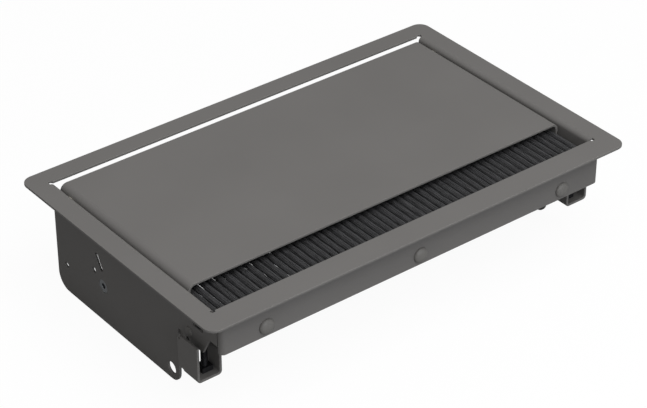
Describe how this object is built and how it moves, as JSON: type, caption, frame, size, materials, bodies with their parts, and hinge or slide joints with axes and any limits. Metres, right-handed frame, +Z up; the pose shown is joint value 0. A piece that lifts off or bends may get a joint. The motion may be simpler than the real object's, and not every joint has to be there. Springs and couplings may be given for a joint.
{
  "type": "in-desk cable frame",
  "caption": "Folded sheet frame for a desk cut-out with a tilting lid, a brush strip as the cable outlet and screw clamps that grip the desk top from below.",
  "frame": {"origin": "below the centre of the flange, at the height of the cheeks' lower edges", "axes": "+X along the long side, -Y towards the brush side, +Z up out of the desk"},
  "size_m": [0.3, 0.186, 0.07],
  "materials": {
    "powder_coat": "fine-texture powder coat on folded steel, warm dark grey",
    "coated_rivet": "powder coated over the head",
    "black_plastic": "extruded, matt",
    "bristle": "crimped nylon filament",
    "natural_nylon": "moulded",
    "zinc_steel": "zinc plated",
    "spring_steel": "phosphated",
    "black_rubber": "moulded, matt",
    "black_steel": "black-oxide screw steel, dull"
  },
  "bodies": {
    "base": {"frame": "powder_coat", "front_rail": "powder_coat", "rail_rivets": "coated_rivet", "brush_carrier": "black_plastic", "brush_bristles": "bristle", "hinge_pin_left": "zinc_steel", "hinge_pin_right": "zinc_steel", "pin_clip_left": "spring_steel", "pin_clip_right": "spring_steel", "stop_studs": "zinc_steel", "rest_studs": "zinc_steel", "rest_sleeves": "black_rubber", "rivet_nuts": "zinc_steel", "clamp_bracket_left": "powder_coat", "clamp_bracket_right": "powder_coat", "bracket_rivets": "coated_rivet"},
    "lid": {"lid": "powder_coat", "hinge_bush_left": "natural_nylon", "hinge_bush_right": "natural_nylon"},
    "screw_left": {"clamp_screw_left": "black_steel"},
    "screw_right": {"clamp_screw_right": "black_steel"},
    "jaw_left": {"clamp_jaw_left": "powder_coat", "clamp_nut_left": "black_steel"},
    "jaw_right": {"clamp_jaw_right": "powder_coat", "clamp_nut_right": "black_steel"}
  },
  "joints": [
    {"name": "lid_hinge", "type": "hinge", "parent": "base", "child": "lid", "pos_m": [0, 0.064, 0.062], "axis": [-1, 0, 0], "range_deg": [0, 100]},
    {"name": "screw_left_turn", "type": "hinge", "parent": "base", "child": "screw_left", "pos_m": [-0.1334, -0.062, 0.05], "axis": [0, 0, 1], "range_deg": [0, 5730]},
    {"name": "screw_right_turn", "type": "hinge", "parent": "base", "child": "screw_right", "pos_m": [0.1334, -0.062, 0.05], "axis": [0, 0, 1], "range_deg": [-1610, 4180]},
    {"name": "jaw_left_slide", "type": "slide", "parent": "base", "child": "jaw_left", "axis": [0, 0, 1], "range_m": [0, 0.0111]},
    {"name": "jaw_right_slide", "type": "slide", "parent": "base", "child": "jaw_right", "axis": [0, 0, 1], "range_m": [-0.0031, 0.0081]}
  ],
  "couplings": [
    {"joint": "screw_left_turn", "follows": "jaw_left_slide", "rad_per_m": 8976},
    {"joint": "screw_right_turn", "follows": "jaw_right_slide", "rad_per_m": 8976}
  ]
}
